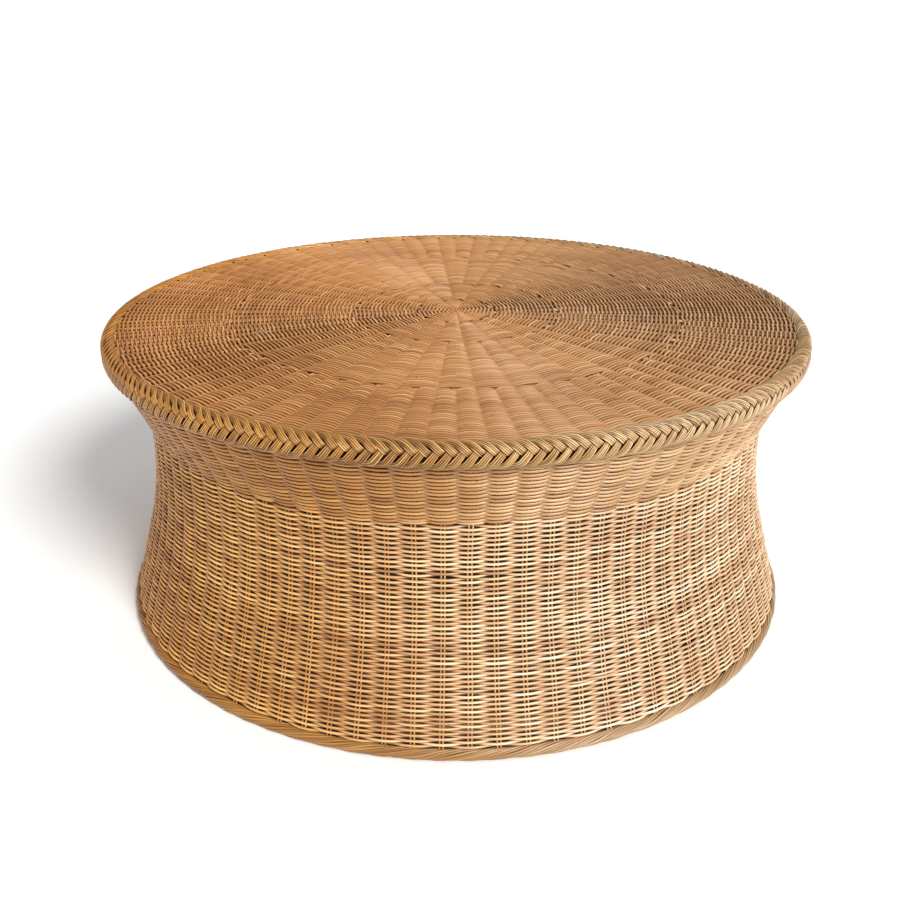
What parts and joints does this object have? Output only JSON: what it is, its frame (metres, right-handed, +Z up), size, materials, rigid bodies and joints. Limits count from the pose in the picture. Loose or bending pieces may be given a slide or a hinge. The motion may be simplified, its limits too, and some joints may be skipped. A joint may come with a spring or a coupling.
{
  "type": "wicker coffee table",
  "caption": "Round wicker coffee table: flat woven top with a plaited rim over a sloping apron, on a waisted woven drum with a rope-like foot border.",
  "frame": {"origin": "on the floor, under the middle of the round top", "axes": "+Z up, front towards -Y"},
  "size_m": [1.001, 1.001, 0.415],
  "materials": {
    "cane_weave": "satin peeled rattan cane, honey brown",
    "cane_border": "satin peeled rattan cane, golden tan",
    "cane_stake": "satin peeled rattan cane, a shade darker",
    "rattan_pole": "satin bent rattan pole",
    "cane_lashing": "satin split cane",
    "screw_steel": "zinc plated"
  },
  "bodies": {
    "root": {"foot_border": "cane_border", "body_weave": "cane_weave", "side_stakes": "cane_stake", "apron_weave": "cane_weave", "rim_braid": "cane_border", "top_weave": "cane_weave", "centre_knot": "cane_border", "long_spokes": "cane_stake", "first_added_spokes": "cane_stake", "second_added_spokes": "cane_stake", "base_hoop": "rattan_pole", "waist_hoop": "rattan_pole", "top_hoop": "rattan_pole", "support_hoop": "rattan_pole", "cross_bar_side_to_side": "rattan_pole", "cross_bar_front_to_back": "rattan_pole", "base_lashings": "cane_lashing", "waist_lashings": "cane_lashing", "top_lashings": "cane_lashing", "post_screws": "screw_steel", "bearer_screws": "screw_steel", "support_hoop_screws": "screw_steel", "crossing_screw": "screw_steel", "post_1": "rattan_pole", "post_2": "rattan_pole", "post_3": "rattan_pole", "post_4": "rattan_pole", "post_5": "rattan_pole", "post_6": "rattan_pole", "post_7": "rattan_pole", "post_8": "rattan_pole", "diagonal_bearer_1": "rattan_pole", "diagonal_bearer_2": "rattan_pole", "diagonal_bearer_3": "rattan_pole", "diagonal_bearer_4": "rattan_pole"}
  },
  "joints": []
}
